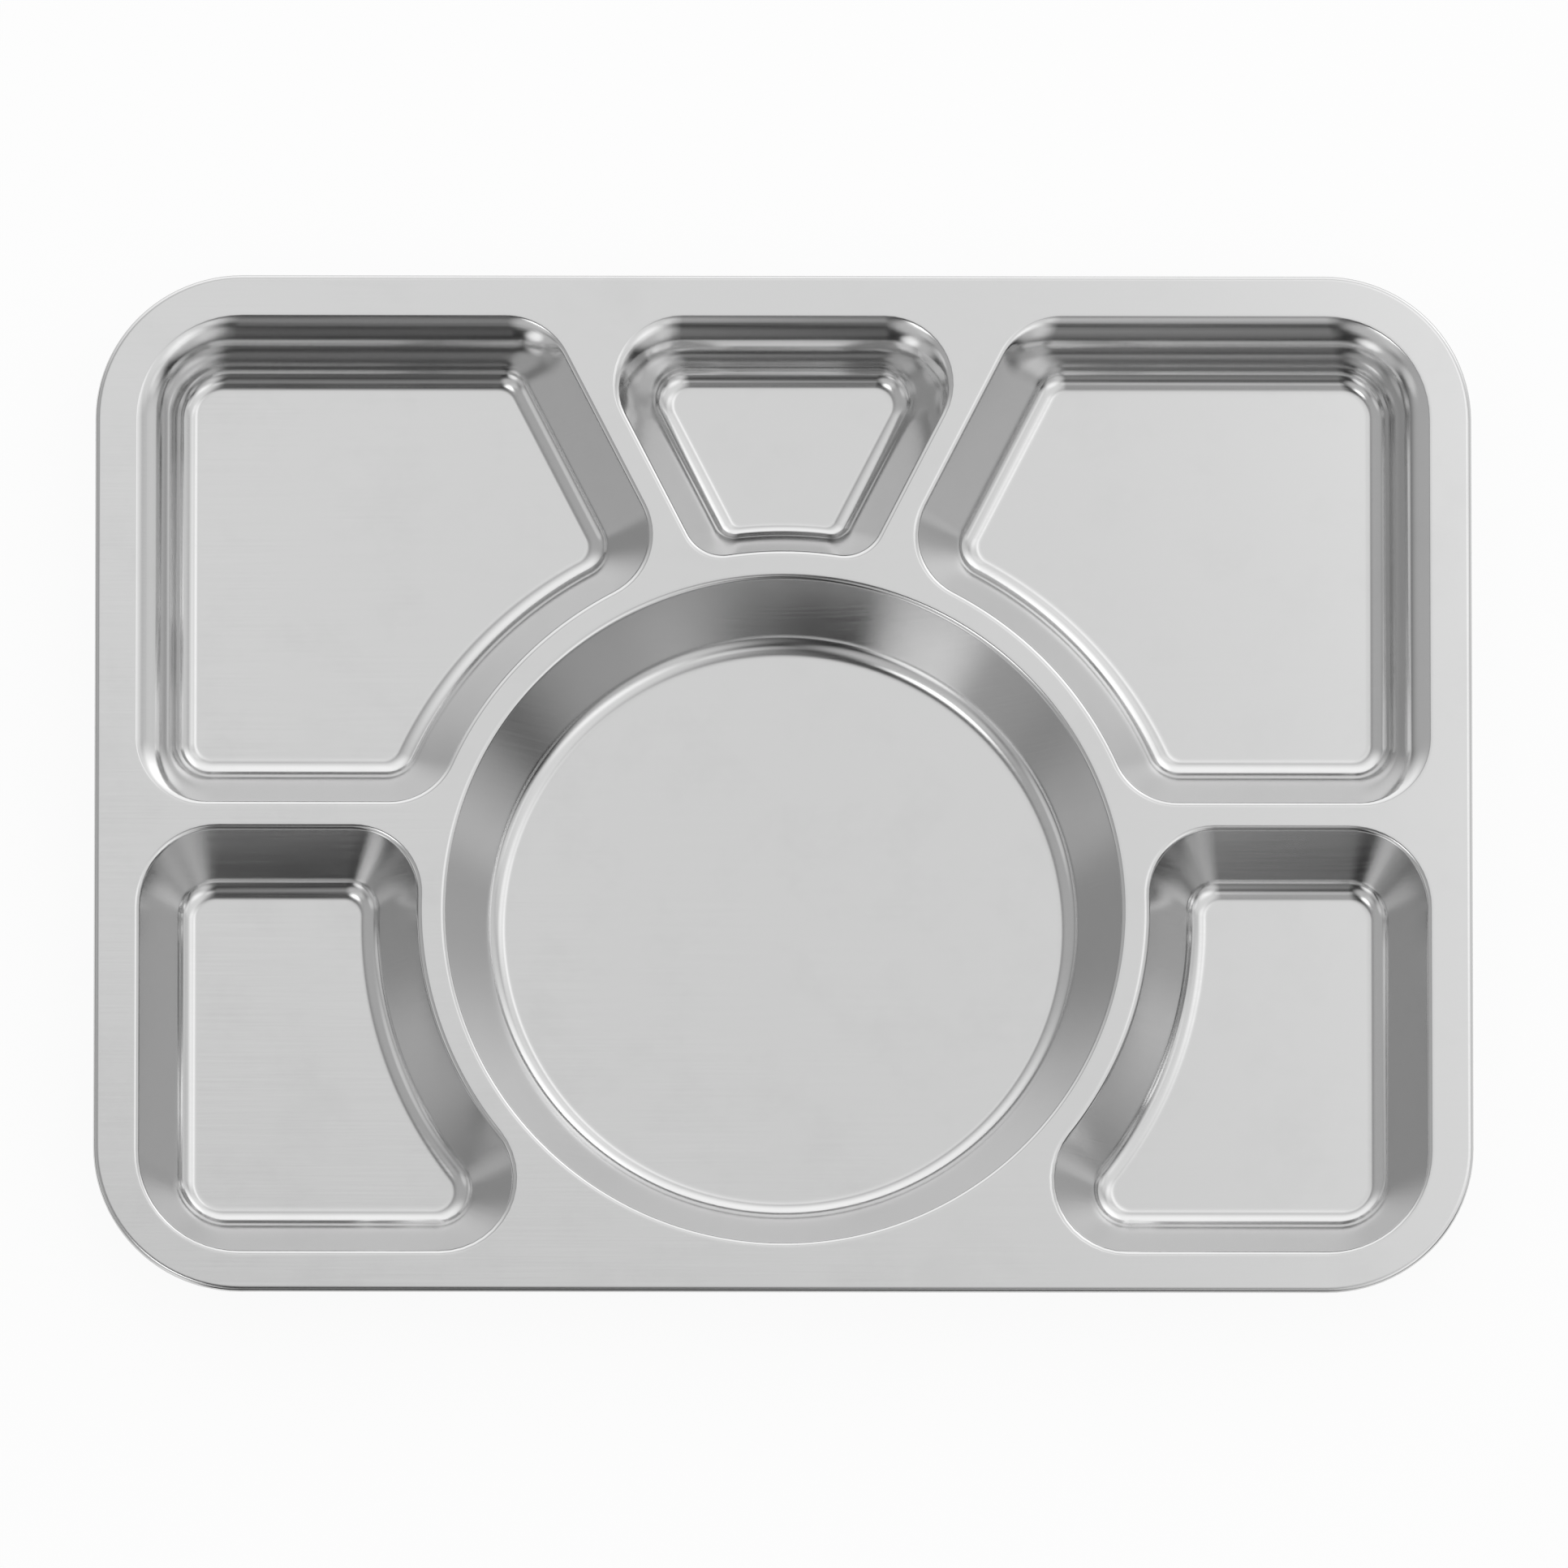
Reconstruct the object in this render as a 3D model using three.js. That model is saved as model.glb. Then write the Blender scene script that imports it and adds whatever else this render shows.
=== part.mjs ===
// Six-compartment mess tray, drawn from one stainless sheet with its edge folded under as an open hem.
// Millimetres: +X along the width, +Y to the back, +Z up. The undersides of the well floors lie on
// z = 0 and the tray's outline is centred on the origin.

import * as THREE from 'three';

// Tray and sheet
const trayWidth = 394;
const trayDepth = 296;
const trayHeight = 24;
const trayCornerRadius = 42;
const sheetThickness = 0.6;

// Open hem: inside radius of the fold and the width of the strip turned back under the deck
const hemInnerRadius = 0.5;
const hemReturn = 4;

// Flat deck left around and between the wells
const sideMargin = 11.5;
const backMargin = 11.5;
const frontMargin = 10.5;
const landWidth = 5.2;

// Bends from the deck into the walls, by their inside radius on the underside of the sheet. Most walls have
// one small bend; the outer walls of the back wells have a soft one that runs on into a wide shoulder
const rimBendInnerRadius = 1.2;
const softRimInnerRadius = 1.8;
const softRimAngle = THREE.MathUtils.degToRad(20);
const shoulderInnerRadius = 13.4;

// Slopes of the walls and the inside radius of their bends at the floor
const outerWallAngle = THREE.MathUtils.degToRad(78);
const outerFloorBendRadius = 7;
const sideWallAngle = THREE.MathUtils.degToRad(61);
const sideFloorBendRadius = 7.5;
const frontWallAngle = THREE.MathUtils.degToRad(61.3);
const frontFloorBendRadius = 7;
const roundWallAngle = THREE.MathUtils.degToRad(59.2);
const roundFloorBendRadius = 7;
const middleWallAngle = THREE.MathUtils.degToRad(63.5);
const middleFloorBendRadius = 7;
const middleFrontWallAngle = THREE.MathUtils.degToRad(68);
const middleFrontFloorBendRadius = 5;
const middleBackWallAngle = THREE.MathUtils.degToRad(80);
const middleBackFloorBendRadius = 6.5;

// Plan of the wells at the deck
const roundWellRadius = 98;
const roundWellFrontMargin = 13;
const backRowDepth = 143.5;
const ribAngle = THREE.MathUtils.degToRad(27);
const ribRootX = 25.7;
const wellCornerRadius = 20;
const frontTipRadius = 22.3;
const frontBackCornerRadius = 24;
const middleFrontCornerRadius = 12;

// Plan of the floors: how much nearer the front the round floor lies than its rim, and the radius of a
// floor's corner as a share of the rim's radius there
const roundFloorShift = 1.4;
const floorCornerShare = 0.225;

// Steps of the round stretches
const trayCornerSteps = 10;
const wellCornerSteps = 7;
const landArcSteps = 10;
const roundWellSteps = 80;
const rimBendSteps = 2;
const shoulderSteps = 3;
const floorBendSteps = 4;
const hemSteps = 6;

// Sizes and places that follow from those above
const hemRadius = hemInnerRadius + sheetThickness;
const rimBendRadius = rimBendInnerRadius + sheetThickness;
const softRimRadius = softRimInnerRadius + sheetThickness;
const shoulderRadius = shoulderInnerRadius + sheetThickness;
const floorDrop = trayHeight - sheetThickness;
const wellHalfWidth = trayWidth / 2 - sideMargin;
const wellsBack = trayDepth / 2 - backMargin;
const wellsFront = -trayDepth / 2 + frontMargin;
const backRowFront = wellsBack - backRowDepth;
const frontRowBack = backRowFront - landWidth;
const outerCornerRadius = trayCornerRadius - sideMargin;
const roundCentre = new THREE.Vector2(0, -trayDepth / 2 + roundWellFrontMargin + roundWellRadius);
const landArcRadius = roundWellRadius + landWidth;

// Inset, drop below the deck and slope down the food side of a wall; each bend of the shoulder has a radius,
// the slope at its end and a number of steps
function sectionPoints(shoulder, floorBendRadius, floorSteps) {
  const points = [{ inset: 0, drop: 0, slope: 0 }];
  shoulder.forEach(({ radius, slope: endSlope, steps }) => {
    const from = points[points.length - 1];
    for (let step = 1; step <= steps; step += 1) {
      const slope = THREE.MathUtils.lerp(from.slope, endSlope, step / steps);
      const inset = from.inset + radius * (Math.sin(slope) - Math.sin(from.slope));
      const drop = from.drop + radius * (Math.cos(from.slope) - Math.cos(slope));
      points.push({ inset, drop, slope });
    }
  });
  const wallStart = points[points.length - 1];
  const wallSlope = wallStart.slope;
  const wallEndDrop = floorDrop - floorBendRadius * (1 - Math.cos(wallSlope));
  const wallEndInset = wallStart.inset + (wallEndDrop - wallStart.drop) / Math.tan(wallSlope);
  for (let step = 0; step <= floorSteps; step += 1) {
    const slope = wallSlope * (1 - step / floorSteps);
    const inset = wallEndInset + floorBendRadius * (Math.sin(wallSlope) - Math.sin(slope));
    points.push({ inset, drop: floorDrop - floorBendRadius * (1 - Math.cos(slope)), slope });
  }
  return points;
}

// A wall's section: fine points to read it from, and the few of them where lines of the mesh run. Those of
// the rim bend stand apart, as the walls of one well share them
const fineSteps = 40;

function wallSection(shoulder, floorBendRadius) {
  const fineShoulder = shoulder.map((bend) => ({ ...bend, steps: fineSteps }));
  const fine = sectionPoints(fineShoulder, floorBendRadius, fineSteps);
  const coarse = sectionPoints(shoulder, floorBendRadius, floorBendSteps);
  const rimCount = shoulder[0].steps + 1;
  return {
    fine,
    floorInset: fine[fine.length - 1].inset,
    rimStations: coarse.slice(0, rimCount),
    lowerStations: coarse.slice(rimCount),
  };
}

function plainSection(slope, floorBendRadius) {
  return wallSection([{ radius: rimBendRadius, slope, steps: rimBendSteps }], floorBendRadius);
}

function softSection(slope, floorBendRadius) {
  const rim = { radius: softRimRadius, slope: softRimAngle, steps: rimBendSteps };
  return wallSection([rim, { radius: shoulderRadius, slope, steps: shoulderSteps }], floorBendRadius);
}

// Drop of a station on the food side, or on the underside when thickness is given
function stationDrop(station, thickness) {
  return station.drop + thickness * Math.cos(station.slope);
}

// Where a wall runs at a drop: the food side's inset and how far the wanted face lies outside it
function wallAt(section, drop, thickness) {
  const { fine } = section;
  let after = fine.findIndex((station) => stationDrop(station, thickness) >= drop);
  after = after < 0 ? fine.length - 1 : Math.max(after, 1);
  const above = fine[after - 1];
  const below = fine[after];
  const span = stationDrop(below, thickness) - stationDrop(above, thickness);
  const part = THREE.MathUtils.clamp((drop - stationDrop(above, thickness)) / span, 0, 1);
  const inset = THREE.MathUtils.lerp(above.inset, below.inset, part);
  const outset = thickness * Math.sin(THREE.MathUtils.lerp(above.slope, below.slope, part));
  return { inset, outset, share: inset / section.floorInset };
}

const outerSection = softSection(outerWallAngle, outerFloorBendRadius);
const sideSection = plainSection(sideWallAngle, sideFloorBendRadius);
const frontSection = plainSection(frontWallAngle, frontFloorBendRadius);
const roundSection = plainSection(roundWallAngle, roundFloorBendRadius);
const middleSection = plainSection(middleWallAngle, middleFloorBendRadius);
const middleFrontSection = plainSection(middleFrontWallAngle, middleFrontFloorBendRadius);
const middleBackSection = softSection(middleBackWallAngle, middleBackFloorBendRadius);

// Edges of a well outline, walked anticlockwise with the well on the left
function lineEdge(x, y, directionX, directionY, section) {
  const along = new THREE.Vector2(directionX, directionY).normalize();
  const inward = new THREE.Vector2(-along.y, along.x);
  return { point: new THREE.Vector2(x, y), along, inward, section };
}

function landEdge(section) {
  return { centre: roundCentre, radius: landArcRadius, section };
}

// The rib's centre line crosses the middle of the round well's land at ribRootX and leans outwards
function ribEdge(side, directionY, section) {
  const middleRadius = roundWellRadius + landWidth / 2;
  const rootY = roundCentre.y + Math.sqrt(middleRadius ** 2 - ribRootX ** 2);
  const halfGap = landWidth / 2 / Math.cos(ribAngle);
  const x = -(ribRootX + side * halfGap);
  return lineEdge(x, rootY, -Math.sin(ribAngle) * directionY, Math.cos(ribAngle) * directionY, section);
}

function mirroredEdge(edge) {
  if (edge.centre) {
    return edge;
  }
  return lineEdge(-edge.point.x, edge.point.y, edge.along.x, -edge.along.y, edge.section);
}

// Centre of a corner arc that touches two edges, each moved into the well by its reach
function cornerCentre(before, after, reachBefore, reachAfter) {
  if (before.centre || after.centre) {
    const [line, lineReach] = before.centre ? [after, reachAfter] : [before, reachBefore];
    const [arc, arcReach] = before.centre ? [before, reachBefore] : [after, reachAfter];
    const start = line.point.clone().addScaledVector(line.inward, lineReach);
    const offset = start.clone().sub(arc.centre);
    const middle = -offset.dot(line.along);
    const halfChord = Math.sqrt(middle ** 2 - offset.lengthSq() + (arc.radius + arcReach) ** 2);
    const distance = before.centre ? middle + halfChord : middle - halfChord;
    return start.addScaledVector(line.along, distance);
  }
  const start = before.point.clone().addScaledVector(before.inward, reachBefore);
  const target = after.point.clone().addScaledVector(after.inward, reachAfter).sub(start);
  const distance = target.dot(after.inward) / before.along.dot(after.inward);
  return start.addScaledVector(before.along, distance);
}

// Direction, as an angle, from a corner arc's centre to where it touches an edge
function touchAngle(edge, centre) {
  if (edge.centre) {
    return edge.centre.clone().sub(centre).angle();
  }
  return edge.inward.clone().negate().angle();
}

// One closed line around a well at a drop below the deck, on the food side or, with thickness, underneath
function wellLine(well, drop, thickness) {
  if (well.radius) {
    const { inset, outset, share } = wallAt(well.section, drop, thickness);
    const radius = well.radius - inset + outset;
    const centreY = well.centre.y - roundFloorShift * share;
    const circle = new THREE.EllipseCurve(well.centre.x, centreY, radius, radius);
    return circle.getPoints(roundWellSteps).slice(0, -1);
  }
  const points = [];
  const count = well.edges.length;
  const walls = well.edges.map((edge) => wallAt(edge.section, drop, thickness));
  const corners = well.edges.map((before, index) => {
    const next = (index + 1) % count;
    const after = well.edges[next];
    const share = (walls[index].share + walls[next].share) / 2;
    const outset = (walls[index].outset + walls[next].outset) / 2;
    const rimRadius = well.cornerRadii[index];
    const radius = THREE.MathUtils.lerp(rimRadius, rimRadius * floorCornerShare, share) + outset;
    const reaches = [walls[index], walls[next]].map((wall) => wall.inset - wall.outset + radius);
    const centre = cornerCentre(before, after, ...reaches);
    return { centre, radius, from: touchAngle(before, centre), to: touchAngle(after, centre) };
  });
  well.edges.forEach((edge, index) => {
    if (edge.centre) {
      const previous = corners[(index + count - 1) % count];
      const from = previous.centre.clone().sub(edge.centre).angle();
      const to = corners[index].centre.clone().sub(edge.centre).angle();
      const radius = edge.radius + walls[index].inset - walls[index].outset;
      const arc = new THREE.EllipseCurve(edge.centre.x, edge.centre.y, radius, radius, from, to, true);
      points.push(...arc.getPoints(landArcSteps).slice(1, -1));
    }
    const corner = corners[index];
    const { x, y } = corner.centre;
    const arc = new THREE.EllipseCurve(x, y, corner.radius, corner.radius, corner.from, corner.to, false);
    points.push(...arc.getPoints(wellCornerSteps));
  });
  return points;
}

// A well's mirror image: its edges in the other order, each walked the other way
function mirroredWell(well) {
  const edges = well.edges.map(mirroredEdge).reverse();
  const cornerRadii = well.cornerRadii.slice(0, -1).reverse();
  cornerRadii.push(well.cornerRadii[well.cornerRadii.length - 1]);
  return { ...well, edges, cornerRadii };
}

// Each corner radius belongs to the corner at the end of the edge with the same number; the stations of the
// mesh's lines are those of a plain rim and of the well's softest wall below it
const backLeftWell = {
  edges: [
    lineEdge(-wellHalfWidth, backRowFront, 1, 0, sideSection),
    landEdge(sideSection),
    ribEdge(1, 1, sideSection),
    lineEdge(0, wellsBack, -1, 0, outerSection),
    lineEdge(-wellHalfWidth, 0, 0, -1, outerSection),
  ],
  cornerRadii: [wellCornerRadius, wellCornerRadius, wellCornerRadius, outerCornerRadius, wellCornerRadius],
  stations: [...sideSection.rimStations, ...outerSection.lowerStations],
};

const frontLeftWell = {
  edges: [
    lineEdge(-wellHalfWidth, wellsFront, 1, 0, frontSection),
    landEdge(frontSection),
    lineEdge(0, frontRowBack, -1, 0, frontSection),
    lineEdge(-wellHalfWidth, 0, 0, -1, frontSection),
  ],
  cornerRadii: [frontTipRadius, wellCornerRadius, frontBackCornerRadius, outerCornerRadius],
  stations: [...frontSection.rimStations, ...frontSection.lowerStations],
};

const backMiddleWell = {
  edges: [
    landEdge(middleFrontSection),
    mirroredEdge(ribEdge(-1, -1, middleSection)),
    lineEdge(0, wellsBack, -1, 0, middleBackSection),
    ribEdge(-1, -1, middleSection),
  ],
  cornerRadii: [middleFrontCornerRadius, wellCornerRadius, wellCornerRadius, middleFrontCornerRadius],
  stations: [...middleSection.rimStations, ...middleBackSection.lowerStations],
};

const roundWell = {
  centre: roundCentre,
  radius: roundWellRadius,
  section: roundSection,
  stations: [...roundSection.rimStations, ...roundSection.lowerStations],
};

const wells = [
  roundWell,
  backLeftWell,
  backMiddleWell,
  mirroredWell(backLeftWell),
  frontLeftWell,
  mirroredWell(frontLeftWell),
];

// Closed line at the given distance inside the tray's outline
function trayLine(inset) {
  const radius = trayCornerRadius - inset;
  const centreX = trayWidth / 2 - trayCornerRadius;
  const centreY = trayDepth / 2 - trayCornerRadius;
  const points = [];
  [[1, 1], [-1, 1], [-1, -1], [1, -1]].forEach(([signX, signY], quarter) => {
    const from = quarter * Math.PI / 2;
    const corner = new THREE.EllipseCurve(
      signX * centreX, signY * centreY, radius, radius, from, from + Math.PI / 2, false,
    );
    points.push(...corner.getPoints(trayCornerSteps));
  });
  return points;
}

// Section of the hem, from the deck's top round the fold, along the returned strip and its cut edge,
// and back inside the fold to the deck's underside
function hemSection() {
  const stations = [];
  const foldHeight = trayHeight - hemRadius;
  const addFold = (radius, from, to) => {
    for (let step = 0; step <= hemSteps; step += 1) {
      const angle = THREE.MathUtils.lerp(from, to, step / hemSteps);
      const inset = hemRadius - radius * Math.cos(angle);
      stations.push({ inset, z: foldHeight + radius * Math.sin(angle) });
    }
  };
  addFold(hemRadius, Math.PI / 2, -Math.PI / 2);
  stations.push({ inset: hemRadius + hemReturn, z: foldHeight - hemRadius });
  stations.push({ inset: hemRadius + hemReturn, z: foldHeight - hemInnerRadius });
  addFold(hemInnerRadius, -Math.PI / 2, Math.PI / 2);
  return stations;
}

// Triangles of the closed surface, three corners at a time
const corners = [];

function addTriangle(a, b, c) {
  corners.push(a, b, c);
}

function atHeight(line, z) {
  return line.map((point) => new THREE.Vector3(point.x, point.y, z));
}

// Band between two closed lines with matching points; it faces up when outer lies outside inner
function addBand(outer, inner) {
  outer.forEach((point, index) => {
    const next = (index + 1) % outer.length;
    addTriangle(point, outer[next], inner[next]);
    addTriangle(point, inner[next], inner[index]);
  });
}

// Flat face inside a closed line, with holes left open
function addFace(line, holes, z, facesUp) {
  const holeLines = holes.map((hole) => hole.slice().reverse());
  const points = atHeight([line, ...holeLines].flat(), z);
  THREE.ShapeUtils.triangulateShape(line, holeLines).forEach(([a, b, c]) => {
    addTriangle(points[a], points[facesUp ? b : c], points[facesUp ? c : b]);
  });
}

// Both skins of one well: the food side faces up and the underside faces down
function addWell(well) {
  const skinLines = (thickness) => well.stations.map((station) => {
    const drop = stationDrop(station, thickness);
    return atHeight(wellLine(well, drop, thickness), trayHeight - drop);
  });
  const topLines = skinLines(0);
  const underLines = skinLines(sheetThickness);
  for (let index = 1; index < topLines.length; index += 1) {
    addBand(topLines[index - 1], topLines[index]);
    addBand(underLines[index], underLines[index - 1]);
  }
  const floorLine = wellLine(well, floorDrop, 0);
  addFace(floorLine, [], sheetThickness, true);
  addFace(floorLine, [], 0, false);
}

function addHem() {
  const lines = hemSection().map(({ inset, z }) => atHeight(trayLine(inset), z));
  for (let index = 1; index < lines.length; index += 1) {
    addBand(lines[index], lines[index - 1]);
  }
}

function addDeck() {
  const rims = wells.map((well) => wellLine(well, 0, 0));
  const deckLine = trayLine(hemRadius);
  addFace(deckLine, rims, trayHeight, true);
  addFace(deckLine, rims, trayHeight - sheetThickness, false);
}

addDeck();
addHem();
wells.forEach(addWell);

const sheetGeometry = new THREE.BufferGeometry().setFromPoints(corners);
sheetGeometry.computeVertexNormals();

const satinStainless = new THREE.MeshStandardMaterial({ color: 0xc6c7c8, roughness: 0.25, metalness: 1 });

const traySheet = new THREE.Mesh(sheetGeometry, satinStainless);
traySheet.name = 'tray_sheet';

const tray = new THREE.Group();
tray.add(traySheet);

export default tray;
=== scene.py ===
import math

import bmesh
import bpy
import numpy as np
from mathutils import Matrix, Vector


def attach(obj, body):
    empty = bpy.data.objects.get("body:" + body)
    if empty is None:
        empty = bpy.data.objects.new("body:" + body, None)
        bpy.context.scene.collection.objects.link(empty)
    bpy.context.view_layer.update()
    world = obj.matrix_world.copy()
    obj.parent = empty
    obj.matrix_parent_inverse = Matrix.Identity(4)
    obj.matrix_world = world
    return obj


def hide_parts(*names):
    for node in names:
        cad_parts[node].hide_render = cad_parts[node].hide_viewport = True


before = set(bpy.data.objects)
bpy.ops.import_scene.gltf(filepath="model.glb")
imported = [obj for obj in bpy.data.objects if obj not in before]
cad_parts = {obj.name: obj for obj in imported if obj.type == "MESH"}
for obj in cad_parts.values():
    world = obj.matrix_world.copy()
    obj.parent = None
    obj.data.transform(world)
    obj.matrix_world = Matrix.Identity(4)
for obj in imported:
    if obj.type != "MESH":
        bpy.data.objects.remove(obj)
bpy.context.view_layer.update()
print("frame loaded")

mm = 0.001

# Six-compartment tray drawn from one sheet; sizes in millimetres, angles in degrees
tray = {
    "width": 394.0,
    "depth": 296.0,
    "height": 24.0,
    "cornerRadius": 42.0,
    "sheet": 0.6,
    "hemInnerRadius": 0.5,
    "hemReturn": 4.0,
    "sideMargin": 11.5,
    "backMargin": 11.5,
    "frontMargin": 10.5,
    "land": 5.2,                # flat left between two wells
    "rimRadius": 1.8,           # bend from the deck into most of the walls
    "softRim": (2.4, 20.0),     # first bend into the back wells' outer walls: radius, slope at its end
    "shoulderRadius": 14.0,     # the wide bend that follows it
    "outerWallAngle": 78.0,
    "roundWallAngle": 59.2,
    "sideWallAngle": 61.0,
    "frontWallAngle": 61.3,
    "middleWallAngle": 63.5,
    "middleFrontWallAngle": 68.0,
    "middleBackWallAngle": 80.0,
    "outerFloorBend": 7.0,
    "roundFloorBend": 7.0,
    "roundFloorShift": 1.4,     # the round floor sits this much nearer the front than its rim
    "sideFloorBend": 7.5,
    "frontFloorBend": 7.0,
    "middleFloorBend": 7.0,
    "middleFrontFloorBend": 5.0,
    "middleBackFloorBend": 6.5,
    "roundRadius": 98.0,
    "roundFrontMargin": 13.0,
    "backRowDepth": 143.5,
    "ribAngle": 27.0,
    "ribRootX": 25.7,
    "wellCorner": 20.0,
    "frontTip": 22.3,
    "frontBackCorner": 24.0,
    "middleFrontCorner": 12.0,
    "floorCornerShare": 0.225,  # corner radius at the floor as a share of that at the rim
    "holdWidth": 0.5,           # narrow band that keeps the flats flat beside a bend
    "ringGap": 0.004,           # rings nearer to each other than this are one
    "sampleSteps": 64,          # fine steps of a bend that the rings look their places up in
    "cornerSteps": 14,
    "landArcSteps": 40,
    "roundSteps": 220,
    "trayCornerSteps": 24,
    "hemSteps": 8,
    "topBendSteps": 16,
    "underBendSteps": 6,
}

hemRadius = tray["hemInnerRadius"] + tray["sheet"]
wellHalfWidth = tray["width"] / 2 - tray["sideMargin"]
wellsBack = tray["depth"] / 2 - tray["backMargin"]
wellsFront = -tray["depth"] / 2 + tray["frontMargin"]
backRowFront = wellsBack - tray["backRowDepth"]
frontRowBack = backRowFront - tray["land"]
outerCorner = tray["cornerRadius"] - tray["sideMargin"]
roundCentre = Vector((0, -tray["depth"] / 2 + tray["roundFrontMargin"] + tray["roundRadius"]))


# Inset, drop and slope of points down the section of a wall. shoulder holds the radius and the end slope of
# each bend between the deck and the straight of the wall; a point near each end of the straight keeps it so
def sectionPoints(shoulder, floorBend, steps):
    points = []
    inset = drop = start = 0.0
    for radius, angle in shoulder:
        for turn in np.linspace(start, math.radians(angle), steps + 1):
            over, down = math.sin(turn) - math.sin(start), math.cos(start) - math.cos(turn)
            points.append((inset + radius * over, drop + radius * down, turn))
        inset, drop, start = points[-1]
    floorDrop = tray["height"] - tray["sheet"]
    bendDrop = floorDrop - floorBend * (1 - math.cos(start))
    bendInset = inset + (bendDrop - drop) / math.tan(start)
    over, down = tray["holdWidth"] * math.cos(start), tray["holdWidth"] * math.sin(start)
    points += [(inset + over, drop + down, start), (bendInset - over, bendDrop - down, start)]
    for turn in np.linspace(start, 0, steps + 1):
        over = math.sin(start) - math.sin(turn)
        points.append((bendInset + floorBend * over, floorDrop - floorBend * (1 - math.cos(turn)), turn))
    return points


# Both faces of a wall: the food side's inset and how far the face lies outside it, by drop below the deck,
# and the drops where rings of points go
def wallSection(shoulder, floorBend):
    insets, drops, slopes = np.array(sectionPoints(shoulder, floorBend, tray["sampleSteps"])).T
    section = {"floorInset": insets[-1]}
    for face, thick in (("top", 0.0), ("under", tray["sheet"])):
        rings = sectionPoints(shoulder, floorBend, tray[face + "BendSteps"])
        section[face] = {
            "drops": drops + thick * np.cos(slopes),
            "insets": insets,
            "outsets": thick * np.sin(slopes),
            "levels": [drop + thick * math.cos(slope) for _, drop, slope in rings],
        }
    return section


def wallAt(section, face, drop):
    line = section[face]
    inset = float(np.interp(drop, line["drops"], line["insets"]))
    return inset, float(np.interp(drop, line["drops"], line["outsets"]))


plainRim = tray["rimRadius"]
softRim = tray["softRim"]
outerSection = wallSection(
    [softRim, (tray["shoulderRadius"], tray["outerWallAngle"])], tray["outerFloorBend"]
)
sideSection = wallSection([(plainRim, tray["sideWallAngle"])], tray["sideFloorBend"])
frontSection = wallSection([(plainRim, tray["frontWallAngle"])], tray["frontFloorBend"])
roundSection = wallSection([(plainRim, tray["roundWallAngle"])], tray["roundFloorBend"])
middleSection = wallSection([(plainRim, tray["middleWallAngle"])], tray["middleFloorBend"])
middleFrontSection = wallSection([(plainRim, tray["middleFrontWallAngle"])], tray["middleFrontFloorBend"])
middleBackSection = wallSection(
    [softRim, (tray["shoulderRadius"], tray["middleBackWallAngle"])], tray["middleBackFloorBend"]
)


# Edges of a well's outline, walked anticlockwise with the well on the left
def straightEdge(x, y, alongX, alongY, section):
    along = Vector((alongX, alongY)).normalized()
    inward = Vector((-along.y, along.x))
    return {"point": Vector((x, y)), "along": along, "inward": inward, "section": section}


def landEdge(section):
    return {"centre": roundCentre, "radius": tray["roundRadius"] + tray["land"], "section": section}


def ribEdge(side, directionY, section):
    angle = math.radians(tray["ribAngle"])
    middle = tray["roundRadius"] + tray["land"] / 2
    rootY = roundCentre.y + math.sqrt(middle ** 2 - tray["ribRootX"] ** 2)
    x = -tray["ribRootX"] - side * tray["land"] / 2 / math.cos(angle)
    return straightEdge(x, rootY, -math.sin(angle) * directionY, math.cos(angle) * directionY, section)


def mirroredEdge(edge):
    if "centre" in edge:
        return edge
    return straightEdge(-edge["point"].x, edge["point"].y, edge["along"].x, -edge["along"].y, edge["section"])


def mirroredWell(well):
    edges = [mirroredEdge(edge) for edge in reversed(well["edges"])]
    return {"edges": edges, "corners": well["corners"][-2::-1] + well["corners"][-1:]}


# Centre of a corner arc that touches two edges, each moved into the well by its own reach
def cornerCentre(before, after, reachBefore, reachAfter):
    if "centre" in before or "centre" in after:
        arc, straight = (before, after) if "centre" in before else (after, before)
        reachArc, reach = (reachBefore, reachAfter) if arc is before else (reachAfter, reachBefore)
        start = straight["point"] + straight["inward"] * reach
        offset = start - arc["centre"]
        middle = -offset.dot(straight["along"])
        halfChord = math.sqrt(middle ** 2 - offset.length_squared + (arc["radius"] + reachArc) ** 2)
        return start + straight["along"] * (middle + halfChord if arc is before else middle - halfChord)
    start = before["point"] + before["inward"] * reachBefore
    target = after["point"] + after["inward"] * reachAfter - start
    return start + before["along"] * (target.dot(after["inward"]) / before["along"].dot(after["inward"]))


def angleOf(direction):
    return math.atan2(direction.y, direction.x)


def arcPoints(centre, radius, start, turn, steps):
    angles = [start + turn * step / steps for step in range(steps + 1)]
    return [centre + Vector((math.cos(angle), math.sin(angle))) * radius for angle in angles]


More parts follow.
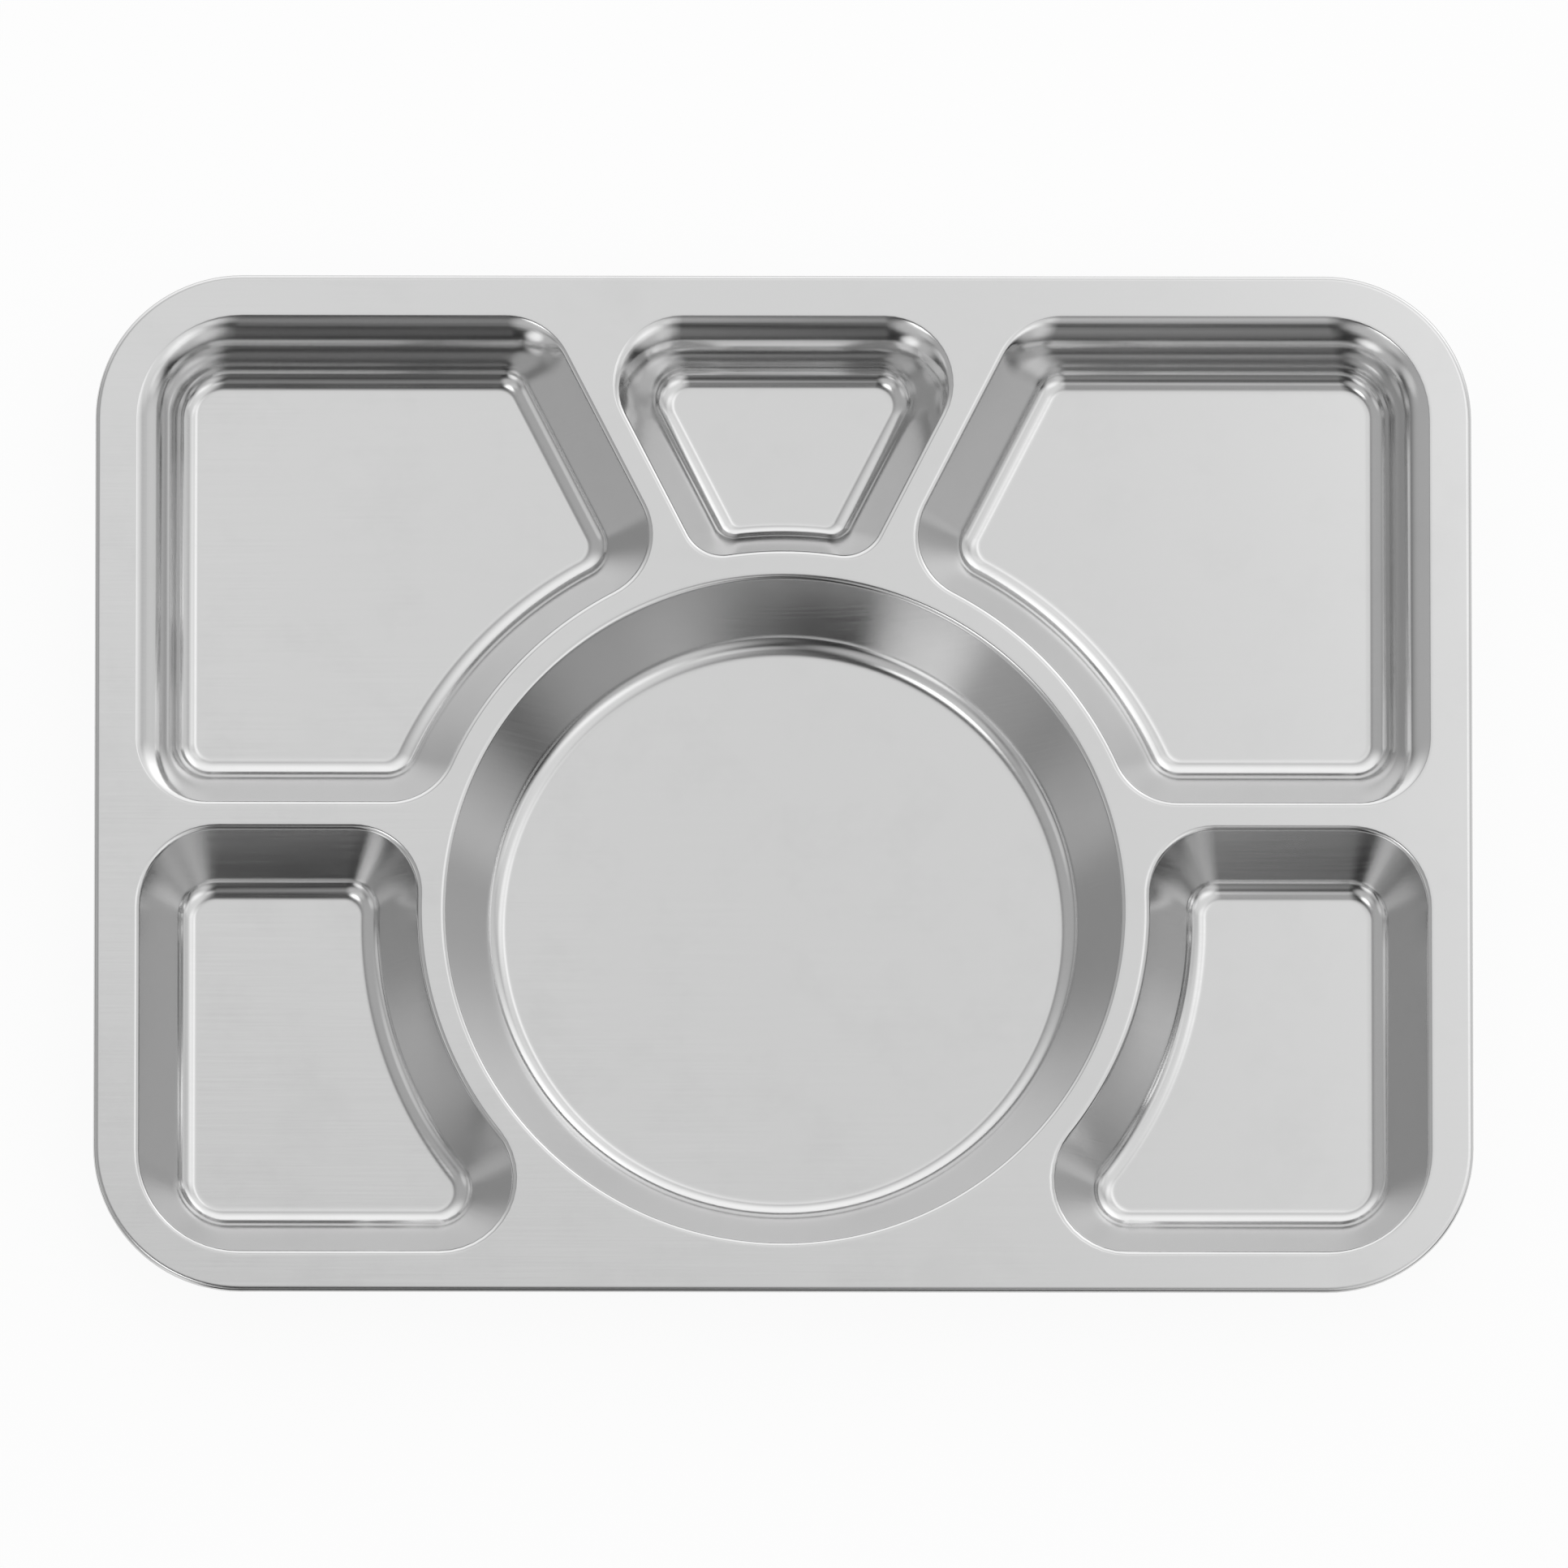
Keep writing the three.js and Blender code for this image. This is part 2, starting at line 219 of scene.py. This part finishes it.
# Outline of one face of a well at a drop below the deck; past carries it on over the flat beside a bend
def wellOutline(well, face, drop, past=0.0):
    if "radius" in well:
        section = well["section"]
        inset, outset = wallAt(section, face, drop)
        centre = roundCentre - Vector((0, tray["roundFloorShift"] * inset / section["floorInset"]))
        return arcPoints(centre, well["radius"] - inset + outset - past, 0, math.tau, tray["roundSteps"])[:-1]
    edges = well["edges"]
    reaches, shares, outsets = [], [], []
    for edge in edges:
        inset, outset = wallAt(edge["section"], face, drop)
        reaches.append(inset - outset + past)
        shares.append(inset / edge["section"]["floorInset"])
        outsets.append(outset)
    arcs = []
    for index, rim in enumerate(well["corners"]):
        after = (index + 1) % len(edges)
        share = (shares[index] + shares[after]) / 2
        outset = (outsets[index] + outsets[after]) / 2
        radius = rim * (1 - (1 - tray["floorCornerShare"]) * share) + outset - past
        centre = cornerCentre(edges[index], edges[after], reaches[index] + radius, reaches[after] + radius)
        angles = []
        for edge in (edges[index], edges[after]):
            towards = edge["centre"] - centre if "centre" in edge else -edge["inward"]
            angles.append(angleOf(towards))
        arcs.append((centre, radius, angles[0], (angles[1] - angles[0]) % math.tau))
    points = []
    for index, edge in enumerate(edges):
        if "centre" in edge:
            start = angleOf(arcs[index - 1][0] - edge["centre"])
            turn = -((start - angleOf(arcs[index][0] - edge["centre"])) % math.tau)
            radius = edge["radius"] + reaches[index]
            points += arcPoints(edge["centre"], radius, start, turn, tray["landArcSteps"])[1:-1]
        points += arcPoints(*arcs[index], tray["cornerSteps"])
    return points


# Rings down one face of a well, from the deck to the floor
def wellRings(well, face):
    sections = [well["section"]] if "radius" in well else [edge["section"] for edge in well["edges"]]
    levels = []
    for level in sorted(drop for section in sections for drop in section[face]["levels"]):
        if not levels or level - levels[-1] > tray["ringGap"]:
            levels.append(level)
    hold = tray["holdWidth"]
    rings = [(levels[0], -hold)] + [(level, 0.0) for level in levels] + [(levels[-1], hold)]
    return [(wellOutline(well, face, drop, past), tray["height"] - drop) for drop, past in rings]


backLeft = {
    "edges": [
        straightEdge(-wellHalfWidth, backRowFront, 1, 0, sideSection),
        landEdge(sideSection),
        ribEdge(1, 1, sideSection),
        straightEdge(0, wellsBack, -1, 0, outerSection),
        straightEdge(-wellHalfWidth, 0, 0, -1, outerSection),
    ],
    "corners": [tray["wellCorner"]] * 3 + [outerCorner, tray["wellCorner"]],
}
frontLeft = {
    "edges": [
        straightEdge(-wellHalfWidth, wellsFront, 1, 0, frontSection),
        landEdge(frontSection),
        straightEdge(0, frontRowBack, -1, 0, frontSection),
        straightEdge(-wellHalfWidth, 0, 0, -1, frontSection),
    ],
    "corners": [tray["frontTip"], tray["wellCorner"], tray["frontBackCorner"], outerCorner],
}
backMiddle = {
    "edges": [
        landEdge(middleFrontSection),
        mirroredEdge(ribEdge(-1, -1, middleSection)),
        straightEdge(0, wellsBack, -1, 0, middleBackSection),
        ribEdge(-1, -1, middleSection),
    ],
    "corners": [tray["middleFrontCorner"], tray["wellCorner"], tray["wellCorner"], tray["middleFrontCorner"]],
}
mainRound = {"radius": tray["roundRadius"], "section": roundSection}
wells = [mainRound, backLeft, backMiddle, mirroredWell(backLeft), frontLeft, mirroredWell(frontLeft)]


def trayOutline(inset):
    points = []
    for index, (signX, signY) in enumerate(((1, 1), (-1, 1), (-1, -1), (1, -1))):
        centre = Vector((
            signX * (tray["width"] / 2 - tray["cornerRadius"]),
            signY * (tray["depth"] / 2 - tray["cornerRadius"]),
        ))
        start, turn = index * math.pi / 2, math.pi / 2
        points += arcPoints(centre, tray["cornerRadius"] - inset, start, turn, tray["trayCornerSteps"])
    return points


# Section of the open hem, from the deck round the fold, along the returned strip and back inside the fold
def hemSection():
    foldZ = tray["height"] - hemRadius
    stripEnd = hemRadius + tray["hemReturn"]
    stations = [(hemRadius + tray["holdWidth"], tray["height"])]

    def fold(radius, start, end):
        for step in range(tray["hemSteps"] + 1):
            angle = start + (end - start) * step / tray["hemSteps"]
            stations.append((hemRadius - radius * math.cos(angle), foldZ + radius * math.sin(angle)))

    fold(hemRadius, math.pi / 2, -math.pi / 2)
    stations.append((stripEnd, foldZ - hemRadius))
    stations.append((stripEnd, foldZ - tray["hemInnerRadius"]))
    fold(tray["hemInnerRadius"], -math.pi / 2, math.pi / 2)
    stations.append((hemRadius + tray["holdWidth"], tray["height"] - tray["sheet"]))
    return stations


# A skin drawn down or round a section: each ring is extruded from the last and set on its own outline
def drawRings(bm, outlines):
    points, z = outlines[0]
    ring = bmesh.ops.create_circle(bm, segments=len(points), radius=mm)["verts"]
    order = bm.verts.layers.int["order"]
    for index, vert in enumerate(ring):
        vert[order] = index
        vert.co = (points[index].x * mm, points[index].y * mm, z * mm)
    firstEdges = edges = list({edge for vert in ring for edge in vert.link_edges})
    for points, z in outlines[1:]:
        made = bmesh.ops.extrude_edge_only(bm, edges=edges)["geom"]
        for vert in made:
            if isinstance(vert, bmesh.types.BMVert):
                point = points[vert[order]]
                vert.co = (point.x * mm, point.y * mm, z * mm)
        edges = [edge for edge in made if isinstance(edge, bmesh.types.BMEdge) and edge.is_boundary]
    return firstEdges, edges


bm = bmesh.new()
bm.verts.layers.int.new("order")
deckTop, deckUnder = [], []
for well in wells:
    for face, deck in (("top", deckTop), ("under", deckUnder)):
        rimEdges, floorEdges = drawRings(bm, wellRings(well, face))
        bmesh.ops.contextual_create(bm, geom=floorEdges)
        deck += rimEdges
hemTop, hemUnder = drawRings(bm, [(trayOutline(inset), z) for inset, z in hemSection()])
bmesh.ops.triangle_fill(bm, use_beauty=True, edges=deckTop + hemTop, normal=(0, 0, 1))
bmesh.ops.triangle_fill(bm, use_beauty=True, edges=deckUnder + hemUnder, normal=(0, 0, -1))
bmesh.ops.recalc_face_normals(bm, faces=bm.faces)
sheetMap = bm.loops.layers.uv.new("sheet")
for face in bm.faces:
    face.smooth = True
    for loop in face.loops:
        loop[sheetMap].uv = loop.vert.co.xy  # the flat blank, in metres, that the grain was brushed on
openEdges = sum(not edge.is_manifold for edge in bm.edges)
trayMesh = bpy.data.meshes.new("traySheet")
bm.to_mesh(trayMesh)
bm.free()
traySheet = bpy.data.objects.new("traySheet", trayMesh)
bpy.context.collection.objects.link(traySheet)
print("tray sheet:", len(trayMesh.polygons), "faces,", openEdges, "open edges")


def linear(hexColour):
    channels = [int(hexColour[start:start + 2], 16) / 255 for start in (1, 3, 5)]
    return [c / 12.92 if c <= 0.04045 else ((c + 0.055) / 1.055) ** 2.4 for c in channels] + [1.0]


def addNode(tree, kind, inputs, **settings):
    made = tree.nodes.new(kind)
    for name, value in settings.items():
        setattr(made, name, value)
    for socket, value in inputs.items():
        if isinstance(value, bpy.types.NodeSocket):
            tree.links.new(value, made.inputs[socket])
        else:
            made.inputs[socket].default_value = value
    return made


def emptyTree(owner):
    owner.use_nodes = True
    owner.node_tree.nodes.clear()
    return owner.node_tree


# Austenitic stainless sheet, finely brushed along its width before pressing: a clear but softened mirror
# that smears across the grain
steel = {
    "colour": "#d1d1d1",
    "dulled": "#cfcfcf",       # where hands and washing have left it less clean
    "roughness": 0.15,
    "grainRough": 0.02,        # up and down from it with the grain
    "smudgeRough": 0.02,       # and up from it on a smudge
    "anisotropy": 0.55,
    "smearTurn": 0.25,         # a quarter turn from the grain
    "grainLength": 45.0,       # mm along the brushing
    "grainWidth": 0.5,         # mm across it; coarser than real grit lines so that it shows
    "grainDepth": 0.0003,      # mm
    "waveLength": 45.0,        # mm between the faint swells that pressing leaves
    "waveDepth": 0.03,         # mm
    "smudgeSize": 26.0,        # mm
}

brushedSteel = bpy.data.materials.new("brushedStainless")
tree = emptyTree(brushedSteel)
blank = addNode(tree, "ShaderNodeUVMap", {}, uv_map="sheet")
along = addNode(tree, "ShaderNodeTangent", {}, direction_type="UV_MAP", uv_map="sheet")
grainMap = addNode(tree, "ShaderNodeMapping", {
    "Vector": blank.outputs["UV"],
    "Scale": (1 / (steel["grainLength"] * mm), 1 / (steel["grainWidth"] * mm), 1),
})
grain = addNode(tree, "ShaderNodeTexNoise", {
    "Vector": grainMap.outputs["Vector"], "Scale": 1.0, "Detail": 3.0, "Roughness": 0.6,
}, noise_dimensions="2D")
place = addNode(tree, "ShaderNodeTexCoord", {})
swell = addNode(tree, "ShaderNodeTexNoise", {
    "Vector": place.outputs["Object"], "Scale": 1 / (steel["waveLength"] * mm), "Detail": 1.0,
})
smudge = addNode(tree, "ShaderNodeTexNoise", {
    "Vector": place.outputs["Object"], "Scale": 1 / (steel["smudgeSize"] * mm),
    "Detail": 5.0, "Roughness": 0.65,
})
swellBump = addNode(tree, "ShaderNodeBump", {
    "Height": swell.outputs["Fac"], "Strength": 1.0, "Distance": steel["waveDepth"] * mm,
})
grainBump = addNode(tree, "ShaderNodeBump", {
    "Height": grain.outputs["Fac"], "Strength": 1.0, "Distance": steel["grainDepth"] * mm,
    "Normal": swellBump.outputs["Normal"],
})
roughGrain = addNode(tree, "ShaderNodeMapRange", {
    "Value": grain.outputs["Fac"], "From Min": 0.3, "From Max": 0.7,
    "To Min": steel["roughness"] - steel["grainRough"], "To Max": steel["roughness"] + steel["grainRough"],
})
roughSmudge = addNode(tree, "ShaderNodeMapRange", {
    "Value": smudge.outputs["Fac"], "From Min": 0.45, "From Max": 0.75,
    "To Min": 0.0, "To Max": steel["smudgeRough"],
})
rough = addNode(tree, "ShaderNodeMath", {
    0: roughGrain.outputs["Result"], 1: roughSmudge.outputs["Result"],
}, operation="ADD")
marked = addNode(tree, "ShaderNodeMapRange", {
    "Value": smudge.outputs["Fac"], "From Min": 0.5, "From Max": 0.7,
})
tone = addNode(tree, "ShaderNodeMix", {
    0: marked.outputs["Result"], 6: linear(steel["colour"]), 7: linear(steel["dulled"]),
}, data_type="RGBA")
steelShader = addNode(tree, "ShaderNodeBsdfPrincipled", {
    "Base Color": tone.outputs[2],
    "Metallic": 1.0,
    "Roughness": rough.outputs["Value"],
    "Anisotropic": steel["anisotropy"],
    "Anisotropic Rotation": steel["smearTurn"],
    "Tangent": along.outputs["Tangent"],
    "Normal": grainBump.outputs["Normal"],
})
addNode(tree, "ShaderNodeOutputMaterial", {"Surface": steelShader.outputs["BSDF"]})
trayMesh.materials.append(brushedSteel)
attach(traySheet, "root")
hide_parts("tray_sheet")
print("brushed steel on the sheet")

# Plain white paper under the tray, in metres
floorSize = {
    "width": 12.0,
    "below": 0.0003,           # clear of the floors of the wells
    "colour": "#f4f4f4",
    "glow": 0.92,              # share of plain white where it is seen; the rest takes the shadow
}
bm = bmesh.new()
bmesh.ops.create_grid(bm, x_segments=1, y_segments=1, size=floorSize["width"] / 2)
bmesh.ops.translate(bm, vec=(0, 0, -floorSize["below"]), verts=bm.verts)
floorMesh = bpy.data.meshes.new("studioFloor")
bm.to_mesh(floorMesh)
bm.free()
floor = bpy.data.objects.new("studioFloor", floorMesh)
bpy.context.collection.objects.link(floor)
whitePaper = bpy.data.materials.new("whitePaper")
tree = emptyTree(whitePaper)
paper = addNode(tree, "ShaderNodeBsdfDiffuse", {"Color": linear(floorSize["colour"])})
glow = addNode(tree, "ShaderNodeEmission", {"Color": (1, 1, 1, 1), "Strength": 1.0})
ray = addNode(tree, "ShaderNodeLightPath", {})
seen = addNode(tree, "ShaderNodeMath", {
    0: ray.outputs["Is Camera Ray"], 1: ray.outputs["Is Glossy Ray"],
}, operation="MAXIMUM")
share = addNode(tree, "ShaderNodeMath", {
    0: seen.outputs["Value"], 1: floorSize["glow"],
}, operation="MULTIPLY")
sweep = addNode(tree, "ShaderNodeMixShader", {
    0: share.outputs["Value"], 1: paper.outputs["BSDF"], 2: glow.outputs["Emission"],
})
addNode(tree, "ShaderNodeOutputMaterial", {"Surface": sweep.outputs["Shader"]})
floorMesh.materials.append(whitePaper)

# Soft lights on a dome round the tray
dome = {
    "radius": 2.5,             # metres
    "cutBelow": -0.01,
    "segments": (32, 16),
    "base": 0.04,              # light from all of the dome
    "core": 0.3,               # share of a light's reach that has its full strength
}
# Azimuth (0 is the tray's front, 90 its right), elevation and reach in degrees, and strength
softLights = {
    "back": (177, 7, 71, 1.34),
    "right": (115, 7, 48, 0.81),
    "left": (-102, 41, 48, 0.51),
    "overhead": (127, 60, 22, 0.62),
    "overheadRight": (66, 56, 36, 0.96),
    "overheadLeft": (-48, 66, 10, 2.14),
    "sideRight": (78, 25, 15, 0.48),
    "sideLeft": (-77, 25, 15, 0.33),
    "frontLeft": (-33, 46, 24, 0.64),
    "lowFrontRight": (36, 29, 31, 0.62),
    "lowFrontLeft": (-45, 9, 28, 0.60),
    "overheadBack": (172, 76, 19, 0.92),
    "frontLeftPanel": (-31, 14, 15, 0.78),
    "lowFront": (15, 23, 22, 0.20),
    "besideCamera": (11, 57, 10, 0.50),
}
bm = bmesh.new()
around, upright = dome["segments"]
bmesh.ops.create_uvsphere(bm, u_segments=around, v_segments=upright, radius=dome["radius"])
lowerHalf = [vert for vert in bm.verts if vert.co.z < dome["cutBelow"]]
bmesh.ops.delete(bm, geom=lowerHalf, context="VERTS")
bmesh.ops.reverse_faces(bm, faces=bm.faces)
domeMesh = bpy.data.meshes.new("studioDome")
bm.to_mesh(domeMesh)
bm.free()
studioDome = bpy.data.objects.new("studioDome", domeMesh)
bpy.context.collection.objects.link(studioDome)
studioDome.visible_camera = False
domeLight = bpy.data.materials.new("domeLight")
tree = emptyTree(domeLight)
spot = addNode(tree, "ShaderNodeTexCoord", {}).outputs["Object"]
outward = addNode(tree, "ShaderNodeVectorMath", {0: spot}, operation="NORMALIZE").outputs["Vector"]
total = dome["base"]
for azimuth, elevation, spread, strength in softLights.values():
    turn, rise, reach = math.radians(azimuth), math.radians(elevation), math.radians(spread)
    towards = (math.sin(turn) * math.cos(rise), -math.cos(turn) * math.cos(rise), math.sin(rise))
    facing = addNode(tree, "ShaderNodeVectorMath", {0: outward, 1: towards}, operation="DOT_PRODUCT")
    panel = addNode(tree, "ShaderNodeMapRange", {
        "Value": facing.outputs["Value"],
        "From Min": math.cos(reach), "From Max": math.cos(reach * dome["core"]),
        "To Min": 0.0, "To Max": strength,
    }, interpolation_type="SMOOTHSTEP")
    sumOfTwo = addNode(tree, "ShaderNodeMath", {0: total, 1: panel.outputs["Result"]}, operation="ADD")
    total = sumOfTwo.outputs["Value"]
shine = addNode(tree, "ShaderNodeEmission", {"Color": (1, 1, 1, 1), "Strength": total})
addNode(tree, "ShaderNodeOutputMaterial", {"Surface": shine.outputs["Emission"]})
domeLight.cycles.emission_sampling = "NONE"
domeMesh.materials.append(domeLight)

# White beyond the floor, for the camera only: the dome gives all of the light
world = bpy.data.worlds.new("studio")
bpy.context.scene.world = world
tree = emptyTree(world)
ray = addNode(tree, "ShaderNodeLightPath", {})
sky = addNode(tree, "ShaderNodeBackground", {
    "Color": (1, 1, 1, 1), "Strength": ray.outputs["Is Camera Ray"],
})
addNode(tree, "ShaderNodeOutputWorld", {"Surface": sky.outputs["Background"]})
print("studio:", len(softLights), "soft lights on the dome")

# Camera far off with a long lens, a little to the front of straight down; metres and degrees
view = {
    "tilt": 11.0,
    "azimuth": -2.0,
    "distance": 12.0,
    "frameWidth": 0.4483,
    "target": (0.00016, -0.0003, 0.0229),
    "sensor": 36.0,            # mm
    "farClip": 100.0,
}
tilt, azimuth = math.radians(view["tilt"]), math.radians(view["azimuth"])
backward = Vector((math.sin(tilt) * math.sin(azimuth), -math.sin(tilt) * math.cos(azimuth), math.cos(tilt)))
sideways = Vector((0, 1, 0)).cross(backward).normalized()
upward = backward.cross(sideways)
cameraData = bpy.data.cameras.new("photoCamera")
cameraData.sensor_width = view["sensor"]
cameraData.lens = view["sensor"] * view["distance"] / view["frameWidth"]
cameraData.clip_end = view["farClip"]
camera = bpy.data.objects.new("photoCamera", cameraData)
bpy.context.collection.objects.link(camera)
camera.matrix_world = (
    Matrix.Translation(Vector(view["target"]) + backward * view["distance"])
    @ Matrix((sideways, upward, backward)).transposed().to_4x4()
)
bpy.context.scene.camera = camera
bpy.context.scene.view_settings.view_transform = "Standard"
